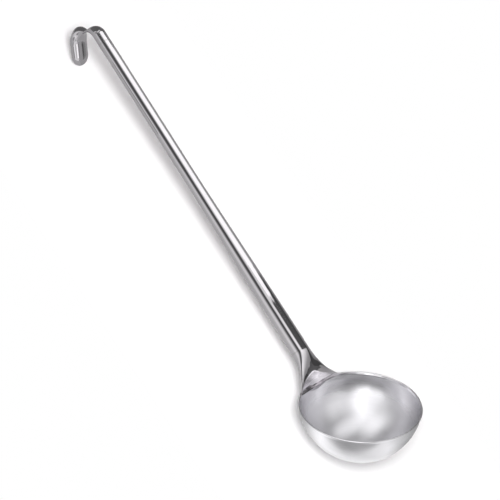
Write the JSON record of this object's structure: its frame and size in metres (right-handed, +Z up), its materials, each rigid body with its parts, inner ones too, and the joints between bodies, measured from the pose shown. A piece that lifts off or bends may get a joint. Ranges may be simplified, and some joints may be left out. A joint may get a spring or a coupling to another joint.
{
  "type": "soup ladle",
  "caption": "Soup ladle in polished stainless steel: round deep bowl, flared neck, long hollow handle and a hook bent to the back.",
  "frame": {"origin": "bottom centre of the bounding box, on the table that the ladle lies on", "axes": "+Z up from the table, +X along the handle from the bowl towards the hook, +Y to the side; the ladle is symmetric about the XZ plane"},
  "size_m": [0.4556, 0.1, 0.0757],
  "materials": {
    "bowl_steel": "satin",
    "polished_steel": "polished",
    "weld_steel": "polished",
    "sleeve_steel": "mill"
  },
  "bodies": {
    "root": {"bowl": "bowl_steel", "neck_front_shell": "polished_steel", "neck_back_shell": "polished_steel", "neck_sleeve": "sleeve_steel", "neck_weld": "weld_steel", "handle_tube": "polished_steel", "handle_seam_weld": "weld_steel", "hook_sleeve": "sleeve_steel", "hook_weld": "weld_steel", "hanging_hook": "polished_steel"}
  },
  "joints": []
}
